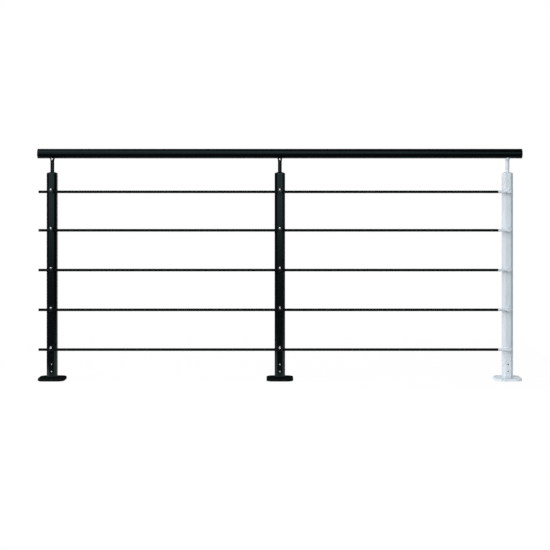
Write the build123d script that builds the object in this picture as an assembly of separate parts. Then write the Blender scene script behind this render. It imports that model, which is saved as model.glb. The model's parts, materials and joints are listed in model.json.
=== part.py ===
from build123d import *
from math import sqrt
import os

# Railing of three bevelled square posts, five cross rods and a round handrail, in millimetres.
# X runs along the railing, -Y is its front, and Z is up.
# The origin is on the underside of the middle base plate, on the axis of the middle post.

# Layout
post_spacing = 940.0
rail_overhang = 60.0
rail_axis_height = 933.5

# Clearance left between a piece and what it slides into or rests on
plug_clearance = 0.15
seat_clearance = 0.1

# Handrail
rail_diameter = 40.0
rail_wall = 2.0
rail_cap_thickness = 3.0
rail_cap_edge = 1.0
rail_cap_plug_length = 18.0
rail_joiner_length = 120.0
rail_joiner_wall = 2.5

# Posts: square tubes with broad bevels
post_side = 43.0
post_bevel = 10.75
post_wall = 2.0

# Post caps: an upright lip, a round shoulder and a crown that rises to a collar round the pin
cap_lip = 1.0
cap_shoulder = 5.0
cap_crown = 2.8
cap_collar = 1.5
cap_plug_length = 20.0

# Handrail supports, from the post cap up to the handrail
pin_diameter = 16.0
pin_length = 41.7
tenon_diameter = 9.0
neck_height = 14.0
saddle_diameter = 20.0
saddle_rim = 1.5
clamp_screw_diameter = 4.5
clamp_screw_drop = 4.0
clamp_boss_diameter = 10.0
clamp_boss_proud = 1.0

# Base plates
plate_side = 110.0
plate_corner = 28.0
plate_thickness = 10.0
plate_edge = 2.0
anchor_inset = 19.0
anchor_hole_diameter = 10.0
anchor_hole_chamfer = 1.0
spigot_length = 75.0
spigot_bore = 24.0
spigot_lead_in = 2.0
set_screw_diameter = 6.0
set_screw_first_rise = 26.5
set_screw_pitch = 29.0

# Rod holders, seated on the front flat of the posts
holder_diameter = 22.0
holder_length = 22.0
holder_edge = 1.5
holder_web = 0.8
holder_screw_diameter = 4.5
holder_seat_diameter = 9.8
holder_seat_depth = 0.8

# Cross rods, counted from the lowest one up
rod_count = 5
rod_diameter = 11.0
rod_stand_off = 11.0
rod_first_height = 128.0
rod_top_drop = 73.0
rod_top_pitch = 158.0
rod_inset = 9.0
rod_end_chamfer = 0.6
rod_end_show = 22.0
rod_end_run_past = 8.0
dowel_diameter = 6.0
dowel_length = 15.0

# Sizes that follow from the ones above
rail_radius = rail_diameter / 2
rail_bore_radius = rail_radius - rail_wall
rail_end_x = post_spacing + rail_overhang
cap_inner_x = rail_end_x - rail_cap_thickness
rail_underside_height = rail_axis_height - rail_radius
neck_bottom_height = rail_underside_height - neck_height
cap_height = cap_lip + cap_shoulder + cap_crown
post_top_height = neck_bottom_height - pin_length - cap_height
post_front = post_side / 2
pin_radius = pin_diameter / 2
rod_reach = post_front + rod_stand_off
rod_left_x = rod_inset - rail_end_x
rod_split_x = post_spacing - post_front - rod_end_show
rod_bore_diameter = rod_diameter + 2 * seat_clearance
holder_screw_rise = rod_bore_diameter / 2 + holder_web + holder_screw_diameter / 2
holder_rise = holder_screw_rise / 2
rod_top_height = post_top_height - rod_top_drop
rod_fourth_height = rod_top_height - rod_top_pitch
rod_pitch = (rod_fourth_height - rod_first_height) / (rod_count - 2)
rod_heights = [rod_first_height + rod_pitch * step for step in range(rod_count - 1)]
rod_heights.append(rod_top_height)
set_screw_first_height = plate_thickness + set_screw_first_rise
set_screw_heights = [set_screw_first_height, set_screw_first_height + set_screw_pitch]
post_places = {"left": -post_spacing, "middle": 0.0, "right": post_spacing}


def bar(diameter, length):
    """A round bar that stands on the XY plane."""
    return extrude(Circle(diameter / 2), amount=length)


def along_x(solid, x, y, z):
    """Lay a standing solid down so that it runs from a point towards +X."""
    return Pos(x, y, z) * Rot(0, 90, 0) * solid


def to_front(diameter, start, length, z):
    """A round bar that runs towards the front from a distance ahead of the Z axis, at a height."""
    return Pos(0, -start, z) * extrude(Plane.XZ * Circle(diameter / 2), amount=length)


def turned(outline):
    """A solid of revolution about Z from an outline drawn in radius and height."""
    return revolve(Plane.XZ * make_face(outline), Axis.Z)


def post_section(inset):
    """The bevelled square of the post, with every side moved in by the inset."""
    side = post_side - 2 * inset
    bevel = post_bevel - (2 - sqrt(2)) * inset
    return chamfer(Rectangle(side, side).vertices(), bevel)


def handrail_half(start_x, end_x):
    """One length of handrail tube."""
    section = Circle(rail_radius) - Circle(rail_bore_radius)
    return along_x(extrude(section, amount=end_x - start_x), start_x, 0, rail_axis_height)


def handrail_joiner():
    """The sleeve inside the handrail where its two lengths meet over the middle post."""
    sleeve_radius = rail_bore_radius - plug_clearance
    section = Circle(sleeve_radius) - Circle(sleeve_radius - rail_joiner_wall)
    sleeve = extrude(section, amount=rail_joiner_length)
    return along_x(sleeve, -rail_joiner_length / 2, 0, rail_axis_height)


def handrail_cap():
    """An end cap standing on its plug: a round-edged disc over a plug that fits the tube."""
    disc = Pos(0, 0, rail_cap_plug_length) * bar(rail_diameter, rail_cap_thickness)
    disc = fillet(disc.edges().sort_by(Axis.Z)[-1], rail_cap_edge)
    return disc + bar(2 * (rail_bore_radius - plug_clearance), rail_cap_plug_length)


def base_plate():
    """A rounded square plate with four anchor holes and the spigot that carries the post."""
    plate = extrude(RectangleRounded(plate_side, plate_side, plate_corner), amount=plate_thickness)
    plate = fillet(plate.edges().group_by(Axis.Z)[-1], plate_edge)
    hole_radius = anchor_hole_diameter / 2
    hole_mouth = Cone(hole_radius, hole_radius + anchor_hole_chamfer, anchor_hole_chamfer,
                      align=(Align.CENTER, Align.CENTER, Align.MAX))
    anchor_spacing = plate_side - 2 * anchor_inset
    for place in GridLocations(anchor_spacing, anchor_spacing, 2, 2):
        plate -= place * bar(anchor_hole_diameter, plate_thickness)
        plate -= place * Pos(0, 0, plate_thickness) * hole_mouth
    spigot = extrude(post_section(post_wall + plug_clearance), amount=spigot_length)
    spigot = chamfer(spigot.edges().group_by(Axis.Z)[-1], spigot_lead_in)
    spigot -= bar(spigot_bore, spigot_length)
    foot = plate + Pos(0, 0, plate_thickness) * spigot
    for height in set_screw_heights:
        foot -= to_front(set_screw_diameter, 0, post_side, height)
    return foot


def post_tube():
    """The post, with its set-screw holes at the foot and a hole behind each rod holder."""
    section = post_section(0) - post_section(post_wall)
    post = Pos(0, 0, plate_thickness) * extrude(section, amount=post_top_height - plate_thickness)
    for height in set_screw_heights:
        post -= to_front(set_screw_diameter, 0, post_side, height)
    for height in rod_heights:
        post -= to_front(holder_screw_diameter, 0, post_side, height + holder_screw_rise)
    return post


def post_cap():
    """A round-shouldered cap with a low crown, a plug that fits the post and a hole for the pin."""
    rim_height = cap_lip + cap_shoulder
    rim = extrude(post_section(0), amount=rim_height)
    rim = fillet(rim.edges().group_by(Axis.Z)[-1], cap_shoulder)
    crown_foot = Pos(0, 0, rim_height) * post_section(cap_shoulder)
    crown_top = Pos(0, 0, cap_height) * post_section(post_front - pin_radius - cap_collar)
    crown = loft([crown_foot, crown_top], ruled=True)
    plug = extrude(post_section(post_wall + plug_clearance), amount=-cap_plug_length)
    pin_hole = bar(pin_diameter + 2 * seat_clearance, cap_plug_length + cap_height)
    cap = rim + crown + plug - Pos(0, 0, -cap_plug_length) * pin_hole
    return Pos(0, 0, post_top_height) * cap


def rail_pin():
    """The pin from the post cap up to the saddle, with a tenon that passes through the saddle."""
    foot_height = post_top_height - cap_plug_length
    pin = Pos(0, 0, foot_height) * bar(pin_diameter, neck_bottom_height - foot_height)
    return pin + Pos(0, 0, neck_bottom_height) * bar(tenon_diameter, neck_height - seat_clearance)


def rail_saddle():
    """The flared neck under the handrail, hollowed on top to its round and bored for the tenon."""
    saddle_radius = saddle_diameter / 2
    bore_diameter = tenon_diameter + 2 * seat_clearance
    boss_reach = saddle_radius + clamp_boss_proud
    flare_end = (saddle_radius, -saddle_rim)
    outline = [
        Polyline((0, rail_radius), (0, -neck_height), (pin_radius, -neck_height)),
        TangentArc((pin_radius, -neck_height), flare_end, tangent=(0, 1)),
        Polyline(flare_end, (saddle_radius, rail_radius), (0, rail_radius)),
    ]
    saddle = turned(outline) + to_front(clamp_boss_diameter, 0, boss_reach, -clamp_screw_drop)
    saddle -= Pos(0, 0, -neck_height) * bar(bore_diameter, neck_height + rail_radius)
    saddle -= to_front(clamp_screw_diameter, 0, boss_reach, -clamp_screw_drop)
    rail_hollow = bar(rail_diameter + 2 * seat_clearance, 2 * saddle_diameter)
    saddle -= along_x(rail_hollow, -saddle_diameter, 0, rail_radius)
    return Pos(0, 0, rail_underside_height) * saddle


def rod_holder():
    """A round boss on the post's flat, with a cross bore for the rod under its screw hole.

    It stands with the axis of the rod at height zero.
    """
    boss = to_front(holder_diameter, post_front, holder_length, holder_rise)
    boss = chamfer(boss.edges().sort_by(Axis.Y)[0], holder_edge)
    boss -= along_x(bar(rod_bore_diameter, 2 * holder_diameter), -holder_diameter, -rod_reach, 0)
    boss -= to_front(holder_screw_diameter, post_front, holder_length, holder_screw_rise)
    seat_start = post_front + holder_length - holder_seat_depth
    boss -= to_front(holder_seat_diameter, seat_start, holder_seat_depth, holder_screw_rise)
    return boss


def cross_rod():
    """One rod through all the holders, bored at its right end for the dowel of the end piece."""
    rod_length = rod_split_x - rod_left_x
    rod = bar(rod_diameter, rod_length)
    rod = chamfer(rod.edges().sort_by(Axis.Z)[0], rod_end_chamfer)
    bore_length = dowel_length + seat_clearance
    rod -= Pos(0, 0, rod_length - bore_length) * bar(dowel_diameter, bore_length)
    return along_x(rod, rod_left_x, -rod_reach, 0)


def rod_end():
    """The pale end piece that carries a rod on into the holder of the right post."""
    stub = bar(rod_diameter, post_spacing + rod_end_run_past - rod_split_x)
    dowel = bar(dowel_diameter - 2 * seat_clearance, dowel_length)
    return along_x(stub + Pos(0, 0, -dowel_length) * dowel, rod_split_x, -rod_reach, 0)


def save(solid, node):
    """Write one piece under its name."""
    export_step(solid, f"parts/{node}.step")


os.makedirs("parts", exist_ok=True)

save(handrail_half(-cap_inner_x, 0), "handrail_left")
save(handrail_half(0, cap_inner_x), "handrail_right")
save(handrail_joiner(), "handrail_joiner")
right_cap = along_x(handrail_cap(), cap_inner_x - rail_cap_plug_length, 0, rail_axis_height)
save(right_cap, "handrail_cap_right")
save(Rot(0, 0, 180) * right_cap, "handrail_cap_left")

for side, post_x in post_places.items():
    at_post = Pos(post_x, 0, 0)
    save(at_post * base_plate(), f"base_plate_{side}")
    save(at_post * post_tube(), f"post_{side}")
    save(at_post * post_cap(), f"post_cap_{side}")
    save(at_post * rail_pin(), f"rail_pin_{side}")
    save(at_post * rail_saddle(), f"rail_saddle_{side}")
    for number, height in enumerate(rod_heights, start=1):
        save(Pos(post_x, 0, height) * rod_holder(), f"rod_holder_{side}_{number}")

for number, height in enumerate(rod_heights, start=1):
    save(Pos(0, 0, height) * cross_rod(), f"cross_rod_{number}")
    save(Pos(0, 0, height) * rod_end(), f"rod_end_{number}")
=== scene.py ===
import json
import math

import bmesh
import bpy
from mathutils import Matrix, Vector


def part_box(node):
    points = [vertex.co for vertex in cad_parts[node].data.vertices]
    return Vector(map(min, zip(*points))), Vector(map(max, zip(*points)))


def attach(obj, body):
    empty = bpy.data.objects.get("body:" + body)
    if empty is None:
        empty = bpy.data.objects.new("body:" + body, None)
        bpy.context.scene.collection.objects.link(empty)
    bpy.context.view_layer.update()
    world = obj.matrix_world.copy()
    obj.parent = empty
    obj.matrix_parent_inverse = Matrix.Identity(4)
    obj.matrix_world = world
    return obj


# The dressed railing, in metres: X runs along it, -Y is its front and Z is up.

SIDES = ("left", "middle", "right")
PALE_SIDE = "right"
ROD_NUMBERS = range(1, 6)

# Camera: level, in front of the railing, with the width and the middle of its picture at the posts
CAMERA_DISTANCE = 5.5
CAMERA_HEIGHT = 0.84
PHOTO_SPAN = 2.2726
PHOTO_CENTRE = Vector((-0.0200, 0.0, 0.4320))

# Button-head screws with a hexagon socket
HEAD_DIAMETER = 0.0096
HEAD_HEIGHT = 0.0021
HEAD_RIM = 0.0004
SOCKET_ACROSS_FLATS = 0.0025
SOCKET_DEPTH = 0.0013
SOCKET_MOUTH_DIAMETER = 0.0032

# Their seats: above the middle of a rod holder, and above the foot of a saddle
HOLDER_SEAT_DEPTH = 0.0008
HOLDER_SCREW_RISE = 0.004325
CLAMP_SCREW_RISE = 0.0100

# Set screws, and how far they are above the foot of a post
SET_SCREW_DIAMETER = 0.0058
SET_SCREW_LENGTH = 0.0050
SET_SCREW_CHAMFER = 0.0005
SET_SCREW_SINK = 0.0008
SET_SCREW_RISES = (0.0265, 0.0555)

SCREW_SEGMENTS = 48
DOME_RINGS = 6
SHARP_ANGLE = math.radians(35)

# Linear colours, and the tints of the gloss over them
BLACK = (0.002, 0.003, 0.003)
SMOOTH_BLACK = (0.0015, 0.0022, 0.0023)
MATT_BLACK = (0.005, 0.0066, 0.0065)
PALE = (0.62, 0.68, 0.74)
PLASTIC_BLACK = (0.0025, 0.0032, 0.0034)
STEEL = (0.90, 0.90, 0.89)
FLOOR_PAINT = (0.92, 0.92, 0.92)
COOL_SHEEN = (0.62, 0.98, 1.0)
PLAIN_SHEEN = (1.0, 1.0, 1.0)

# The usual low and high of a noise texture
NOISE_LOW = 0.3
NOISE_HIGH = 0.7

# Powder coat: how much its colour and its gloss vary, and how high its peel is
COAT_CLOUDING = 0.04
COAT_GLOSS_VARIATION = 0.08
COAT_PEEL_HEIGHT = 0.00012

# World: its light on matt surfaces, what gloss shows of the dim studio in front of the railing, and
# how far to the back a direction points where gloss begins to show the white backdrop, and shows it in full
AMBIENT_LIGHT = 0.26
STUDIO_REFLECTION = 0.02
BACKDROP_START = 0.75
BACKDROP_FULL = 0.97

# Floor: its extent, how far it is under the plates, and how much of the railing's shadow it takes
FLOOR_SIDE = 1.25
FLOOR_FRONT = -0.20
FLOOR_BACK = 1.60
FLOOR_DROP = 0.0005
FLOOR_SHADOW = 0.04


def hexagon_radius(across_flats, angle):
    """How far a hexagon's edge is from its centre, in one direction."""
    turned = angle % math.radians(60) - math.radians(30)
    return across_flats / 2 / math.cos(turned)


def screw_mesh(name, outer_rings, floor_height):
    """A turned screw head with a hexagon socket, its axis along Z, from rings of radius and height."""
    angles = [2 * math.pi * step / SCREW_SEGMENTS for step in range(SCREW_SEGMENTS)]
    mouth_height = outer_rings[-1][1]
    rings = [[(radius * math.cos(a), radius * math.sin(a), z) for a in angles] for radius, z in outer_rings]
    flats = [(hexagon_radius(SOCKET_ACROSS_FLATS, a), a) for a in angles]
    for z in (mouth_height, floor_height):
        rings.append([(radius * math.cos(a), radius * math.sin(a), z) for radius, a in flats])
    work = bmesh.new()
    loops = [[work.verts.new(point) for point in ring] for ring in rings]
    for inner, outer in zip(loops[1:], loops[:-1]):
        for step in range(SCREW_SEGMENTS):
            following = (step + 1) % SCREW_SEGMENTS
            work.faces.new((outer[step], outer[following], inner[following], inner[step]))
    work.faces.new(loops[-1])
    work.faces.new(loops[0][::-1])
    mesh = bpy.data.meshes.new(name)
    work.to_mesh(mesh)
    work.free()
    mesh.shade_smooth()
    mesh.set_sharp_from_angle(angle=SHARP_ANGLE)
    return mesh


def button_head_mesh():
    """A domed head that stands on the XY plane."""
    radius = HEAD_DIAMETER / 2
    mouth_radius = SOCKET_MOUTH_DIAMETER / 2
    rings = [(radius, 0.0), (radius, HEAD_RIM)]
    for step in range(1, DOME_RINGS + 1):
        share = step / DOME_RINGS
        ring = radius + (mouth_radius - radius) * share
        rings.append((ring, HEAD_RIM + (HEAD_HEIGHT - HEAD_RIM) * math.sin(share * math.pi / 2)))
    return screw_mesh("button_head", rings, HEAD_HEIGHT - SOCKET_DEPTH)


def set_screw_mesh():
    """A headless screw with a chamfered end, its outer face on the XY plane."""
    radius = SET_SCREW_DIAMETER / 2
    rings = [(radius, -SET_SCREW_LENGTH), (radius, -SET_SCREW_CHAMFER), (radius - SET_SCREW_CHAMFER, 0.0)]
    return screw_mesh("set_screw", rings, -SOCKET_DEPTH)


def place_screw(name, mesh, position, material):
    """Set a screw into the front of the railing."""
    screw = bpy.data.objects.new(name, mesh.copy())
    bpy.context.scene.collection.objects.link(screw)
    screw.data.transform(Matrix.Rotation(math.radians(90), 4, "X"))
    screw.location = position
    screw.data.materials.append(material)
    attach(screw, "root")


def middle_of(node):
    """The middle of a node's box."""
    low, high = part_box(node)
    return (low + high) / 2


def front_of(node):
    """How far to the front a node reaches."""
    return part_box(node)[0].y


def foot_of(node):
    """How far down a node reaches."""
    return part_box(node)[0].z


def add_screws(materials):
    """Holder screws, clamp screws under the handrail, and set screws at the foot of the posts."""
    head = button_head_mesh()
    set_screw = set_screw_mesh()
    for side in SIDES:
        slot = "pale_coat" if side == PALE_SIDE else "stainless"
        for number in ROD_NUMBERS:
            holder = f"rod_holder_{side}_{number}"
            seat = middle_of(holder)
            seat.y = front_of(holder) + HOLDER_SEAT_DEPTH
            seat.z += HOLDER_SCREW_RISE
            place_screw(f"holder_screw_{side}_{number}", head, seat, materials[slot])

        saddle = f"rail_saddle_{side}"
        seat = middle_of(saddle)
        seat.y = front_of(saddle)
        seat.z = foot_of(saddle) + CLAMP_SCREW_RISE
        place_screw(f"clamp_screw_{side}", head, seat, materials[slot])

        post = f"post_{side}"
        # Painted shade: the set screws of the pale post take the black coat so that they show as dark dots.
        # The black stands in for the shade in their socket holes; the black posts' set screws are
        # stainless.
        slot = "black_coat" if side == PALE_SIDE else "stainless"
        for number, rise in enumerate(SET_SCREW_RISES, start=1):
            seat = middle_of(post)
            seat.y = front_of(post) + SET_SCREW_SINK
            seat.z = foot_of(post) + rise
            place_screw(f"set_screw_{side}_{number}", set_screw, seat, materials[slot])


def new_material(name):
    """A node material with its shader, and a coordinate in metres."""
    material = bpy.data.materials.new(name)
    material.use_nodes = True
    nodes = material.node_tree.nodes
    place = nodes.new("ShaderNodeTexCoord").outputs["Object"]
    return material, nodes, material.node_tree.links, nodes["Principled BSDF"], place


def noise(nodes, links, place, scale, detail):
    """Noise with so many waves to the metre."""
    texture = nodes.new("ShaderNodeTexNoise")
    texture.inputs["Scale"].default_value = scale
    texture.inputs["Detail"].default_value = detail
    links.new(place, texture.inputs["Vector"])
    return texture.outputs["Fac"]


def spread(nodes, links, source, low, high):
    """A number that runs from low to high as the noise goes from its usual low to its usual high."""
    ramp = nodes.new("ShaderNodeMapRange")
    ramp.inputs["From Min"].default_value = NOISE_LOW
    ramp.inputs["From Max"].default_value = NOISE_HIGH
    ramp.inputs["To Min"].default_value = low
    ramp.inputs["To Max"].default_value = high
    links.new(source, ramp.inputs["Value"])
    return ramp.outputs["Result"]


def mottled(nodes, links, source, colour, variation):
    """A colour that is a little darker and lighter from place to place."""
    mix = nodes.new("ShaderNodeMix")
    mix.data_type = "RGBA"
    mix.inputs["A"].default_value = (*[c * (1 - variation) for c in colour], 1)
    mix.inputs["B"].default_value = (*[c * (1 + variation) for c in colour], 1)
    links.new(spread(nodes, links, source, 0, 1), mix.inputs["Factor"])
    return mix.outputs["Result"]


def bump(nodes, links, source, strength, height):
    """A relief of so many metres."""
    relief = nodes.new("ShaderNodeBump")
    relief.inputs["Strength"].default_value = strength
    relief.inputs["Distance"].default_value = height
    links.new(source, relief.inputs["Height"])
    return relief.outputs["Normal"]


def coat_material(name, colour, sheen, roughness, specular, peel):
    """Powder coat: faint clouding, an uneven gloss and the fine peel of the baked powder."""
    material, nodes, links, shader, place = new_material(name)
    clouds = noise(nodes, links, place, scale=14, detail=3)
    gloss = noise(nodes, links, place, scale=160, detail=2)
    grains = noise(nodes, links, place, scale=850, detail=2)
    smoothest = roughness * (1 - COAT_GLOSS_VARIATION)
    roughest = roughness * (1 + COAT_GLOSS_VARIATION)
    shader.inputs["Specular IOR Level"].default_value = specular
    shader.inputs["Specular Tint"].default_value = (*sheen, 1)
    links.new(mottled(nodes, links, clouds, colour, COAT_CLOUDING), shader.inputs["Base Color"])
    links.new(spread(nodes, links, gloss, smoothest, roughest), shader.inputs["Roughness"])
    links.new(bump(nodes, links, grains, peel, COAT_PEEL_HEIGHT), shader.inputs["Normal"])
    return material


def plastic_material(name, colour):
    """Moulded plastic with a fine eroded grain."""
    material, nodes, links, shader, place = new_material(name)
    clouds = noise(nodes, links, place, scale=60, detail=2)
    grain = noise(nodes, links, place, scale=2600, detail=3)
    shader.inputs["Specular IOR Level"].default_value = 0.35
    links.new(mottled(nodes, links, clouds, colour, variation=0.12), shader.inputs["Base Color"])
    links.new(spread(nodes, links, grain, low=0.44, high=0.58), shader.inputs["Roughness"])
    links.new(bump(nodes, links, grain, strength=0.35, height=0.00008), shader.inputs["Normal"])
    return material


def steel_material(name, colour):
    """Stainless steel with the fine rings of turning."""
    material, nodes, links, shader, place = new_material(name)
    rings = nodes.new("ShaderNodeTexWave")
    rings.wave_type = "RINGS"
    rings.rings_direction = "Y"
    rings.inputs["Scale"].default_value = 900
    rings.inputs["Distortion"].default_value = 1.5
    links.new(place, rings.inputs["Vector"])
    turning = rings.outputs["Fac"]
    clouds = noise(nodes, links, place, scale=700, detail=2)
    shader.inputs["Metallic"].default_value = 1.0
    links.new(mottled(nodes, links, clouds, colour, variation=0.05), shader.inputs["Base Color"])
    links.new(spread(nodes, links, clouds, low=0.42, high=0.52), shader.inputs["Roughness"])
    links.new(bump(nodes, links, turning, strength=0.15, height=0.00003), shader.inputs["Normal"])
    return material


def dress_solids(frame, materials):
    """Give each solid the material of its slot."""
    for subpart in frame["record"]["subparts"]:
        solid = frame["nodes"][subpart["node"]].data
        solid.materials.clear()
        solid.materials.append(materials[subpart["material_slot"]])


def math_node(nodes, links, operation, first, second):
    """The result of one operation on two numbers or outputs."""
    node = nodes.new("ShaderNodeMath")
    node.operation = operation
    for socket, value in zip(node.inputs, (first, second)):
        if isinstance(value, (int, float)):
            socket.default_value = value
        else:
            links.new(value, socket)
    return node.outputs["Value"]


def ray_kinds(nodes, links):
    """Whether a ray comes from the camera, from gloss or glass, or from a matt surface."""
    path = nodes.new("ShaderNodeLightPath").outputs
    mirrored = math_node(nodes, links, "MAXIMUM", path["Is Glossy Ray"], path["Is Transmission Ray"])
    return path["Is Camera Ray"], mirrored, path["Is Diffuse Ray"]


def backdrop_share(nodes, links):
    """A number that is 1 for directions to the backdrop behind the railing and 0 for the others."""
    parts = nodes.new("ShaderNodeSeparateXYZ")
    links.new(nodes.new("ShaderNodeTexCoord").outputs["Generated"], parts.inputs["Vector"])
    ramp = nodes.new("ShaderNodeMapRange")
    ramp.inputs["From Min"].default_value = BACKDROP_START
    ramp.inputs["From Max"].default_value = BACKDROP_FULL
    links.new(parts.outputs["Y"], ramp.inputs["Value"])
    return ramp.outputs["Result"]


def add_world():
    """White to the camera, a white backdrop behind the railing in its gloss, and a dim studio in front."""
    world = bpy.data.worlds.new("studio")
    bpy.context.scene.world = world
    world.use_nodes = True
    nodes, links = world.node_tree.nodes, world.node_tree.links
    camera, mirrored, matt = ray_kinds(nodes, links)
    backdrop = math_node(nodes, links, "MULTIPLY", mirrored, backdrop_share(nodes, links))
    white = math_node(nodes, links, "MAXIMUM", camera, backdrop)
    ambient = math_node(nodes, links, "MULTIPLY", matt, AMBIENT_LIGHT - STUDIO_REFLECTION)
    ambient = math_node(nodes, links, "ADD", ambient, STUDIO_REFLECTION)
    links.new(math_node(nodes, links, "MAXIMUM", white, ambient), nodes["Background"].inputs["Strength"])
    nodes["Background"].inputs["Color"].default_value = (1, 1, 1, 1)


def floor_material():
    """Pale paint that is white to the camera and in gloss and glass, apart from the shadow on it."""
    material = bpy.data.materials.new("pale_floor")
    material.use_nodes = True
    nodes, links = material.node_tree.nodes, material.node_tree.links
    place = nodes.new("ShaderNodeTexCoord").outputs["Object"]
    camera, mirrored, _ = ray_kinds(nodes, links)
    white = math_node(nodes, links, "MAXIMUM", camera, mirrored)
    paint = nodes.new("ShaderNodeBsdfDiffuse")
    clouds = noise(nodes, links, place, scale=3, detail=2)
    links.new(mottled(nodes, links, clouds, FLOOR_PAINT, variation=0.02), paint.inputs["Color"])
    glow = nodes.new("ShaderNodeEmission")
    mix = nodes.new("ShaderNodeMixShader")
    links.new(math_node(nodes, links, "MULTIPLY", white, 1 - FLOOR_SHADOW), mix.inputs["Fac"])
    links.new(paint.outputs["BSDF"], mix.inputs[1])
    links.new(glow.outputs["Emission"], mix.inputs[2])
    links.new(mix.outputs["Shader"], nodes["Material Output"].inputs["Surface"])
    return material


def add_floor():
    """A pale floor that keeps the railing's soft shadow."""
    mesh = bpy.data.meshes.new("floor")
    corners = [(-FLOOR_SIDE, FLOOR_FRONT, 0), (FLOOR_SIDE, FLOOR_FRONT, 0),
               (FLOOR_SIDE, FLOOR_BACK, 0), (-FLOOR_SIDE, FLOOR_BACK, 0)]
    mesh.from_pydata(corners, [], [(0, 1, 2, 3)])
    mesh.materials.append(floor_material())
    floor = bpy.data.objects.new("floor", mesh)
    bpy.context.scene.collection.objects.link(floor)
    floor.location.z = -FLOOR_DROP


def add_softbox(name, position, target, width, height, brightness, in_gloss=True):
    """A rectangular softbox with a given brightness of its face, which gloss shows or not."""
    lamp = bpy.data.lights.new(name, "AREA")
    lamp.shape = "RECTANGLE"
    lamp.size = width
    lamp.size_y = height
    lamp.energy = brightness * math.pi * width * height
    softbox = bpy.data.objects.new(name, lamp)
    bpy.context.scene.collection.objects.link(softbox)
    softbox.location = position
    softbox.rotation_euler = (Vector(target) - Vector(position)).to_track_quat("-Z", "Y").to_euler()
    softbox.visible_camera = False
    softbox.visible_glossy = in_gloss


def add_lights():
    """A softbox over the railing, a large one in front, and matt light from the sides and the back."""
    middle = (0.0, 0.0, 0.60)
    add_softbox("key", (-0.5, -1.1, 2.15), (0.0, 0.0, 0.75), width=3.0, height=1.1, brightness=2.2)
    add_softbox("front", (-0.3, -5.2, 2.22), middle, width=7.0, height=3.9, brightness=1.28)
    add_softbox("left", (-3.2, -1.6, 1.0), middle, width=1.4, height=1.8, brightness=11.5, in_gloss=False)
    add_softbox("right", (2.6, -1.8, 1.0), middle, width=1.4, height=1.8, brightness=1.05, in_gloss=False)
    add_softbox("back", (0.4, 3.4, 2.2), middle, width=3.0, height=2.0, brightness=4.2, in_gloss=False)


def add_camera():
    """A level camera that frames the railing as the photograph does."""
    camera = bpy.data.cameras.new("camera")
    camera.lens = camera.sensor_width * CAMERA_DISTANCE / PHOTO_SPAN
    camera.shift_y = (PHOTO_CENTRE.z - CAMERA_HEIGHT) / PHOTO_SPAN
    stand = bpy.data.objects.new("camera", camera)
    bpy.context.scene.collection.objects.link(stand)
    stand.location = (PHOTO_CENTRE.x, -CAMERA_DISTANCE, CAMERA_HEIGHT)
    stand.rotation_euler = (math.radians(90), 0, 0)
    bpy.context.scene.camera = stand


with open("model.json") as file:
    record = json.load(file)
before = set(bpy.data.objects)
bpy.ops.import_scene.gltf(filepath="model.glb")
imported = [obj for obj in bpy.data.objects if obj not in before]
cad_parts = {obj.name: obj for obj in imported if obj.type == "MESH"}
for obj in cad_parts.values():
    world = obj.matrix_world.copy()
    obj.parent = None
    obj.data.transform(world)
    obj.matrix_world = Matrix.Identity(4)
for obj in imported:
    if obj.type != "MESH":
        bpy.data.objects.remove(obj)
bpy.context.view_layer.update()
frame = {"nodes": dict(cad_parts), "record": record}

materials = {
    "black_coat": coat_material(
        "black_coat", BLACK, COOL_SHEEN, roughness=0.18, specular=0.28, peel=0.03),
    "smooth_black": coat_material(
        "smooth_black", SMOOTH_BLACK, COOL_SHEEN, roughness=0.24, specular=0.13, peel=0.02),
    "matt_black": coat_material(
        "matt_black", MATT_BLACK, PLAIN_SHEEN, roughness=0.70, specular=0.0, peel=0.10),
    "pale_coat": coat_material(
        "pale_coat", PALE, PLAIN_SHEEN, roughness=0.42, specular=0.40, peel=0.02),
    "black_plastic": plastic_material("black_plastic", PLASTIC_BLACK),
    "stainless": steel_material("stainless", STEEL),
}
dress_solids(frame, materials)
add_screws(materials)

add_world()
add_floor()
add_lights()
add_camera()
bpy.context.scene.view_settings.view_transform = "Standard"
